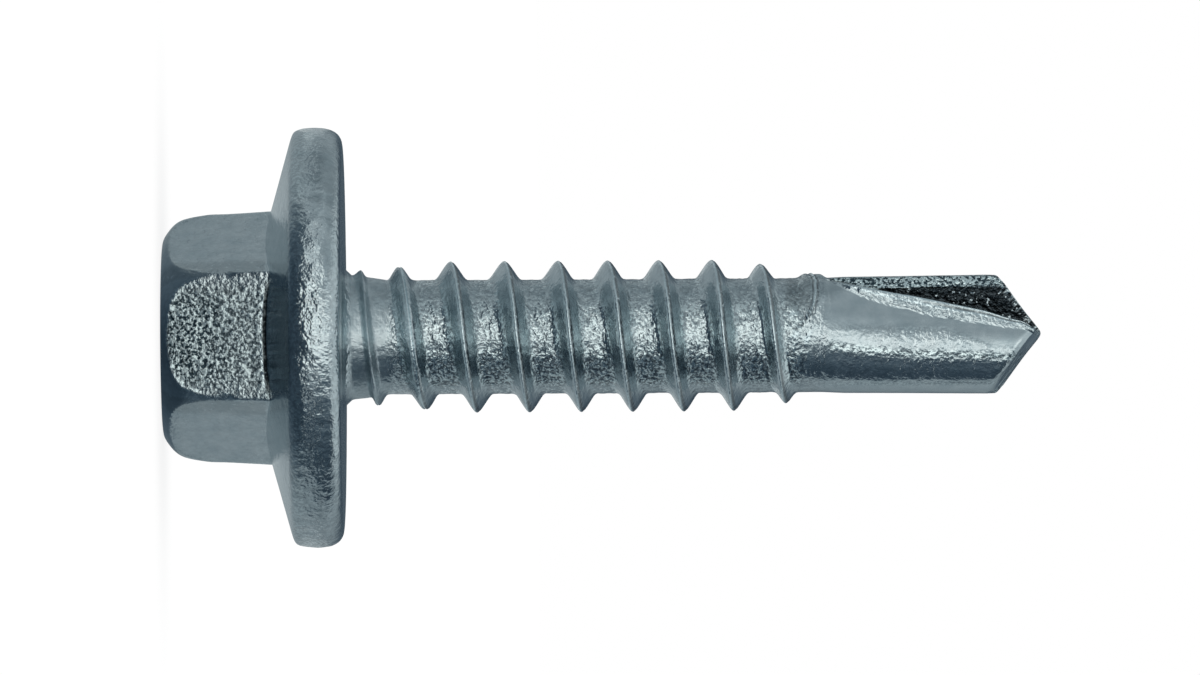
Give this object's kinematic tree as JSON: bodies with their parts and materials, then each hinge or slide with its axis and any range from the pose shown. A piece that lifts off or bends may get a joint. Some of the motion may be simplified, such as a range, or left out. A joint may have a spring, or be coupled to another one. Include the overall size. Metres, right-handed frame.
{
  "type": "self drilling screw",
  "caption": "Steel self-drilling screw with a hexagon head, wide integral washer flange, right-hand thread and forged drill point.",
  "frame": {"origin": "centre of the flange's flat bearing face, on the screw's axis", "axes": "+Z along the axis from the head to the drill point; the hexagon's corners lie on +X and -X, and the sides of the hexagon face +Y and -Y"},
  "size_m": [0.0148, 0.0148, 0.031],
  "materials": {
    "plated_steel": "bare zinc-like plating on forged steel, bright but slightly rough and pitted"
  },
  "bodies": {
    "root": {"screw": "plated_steel"}
  },
  "joints": []
}
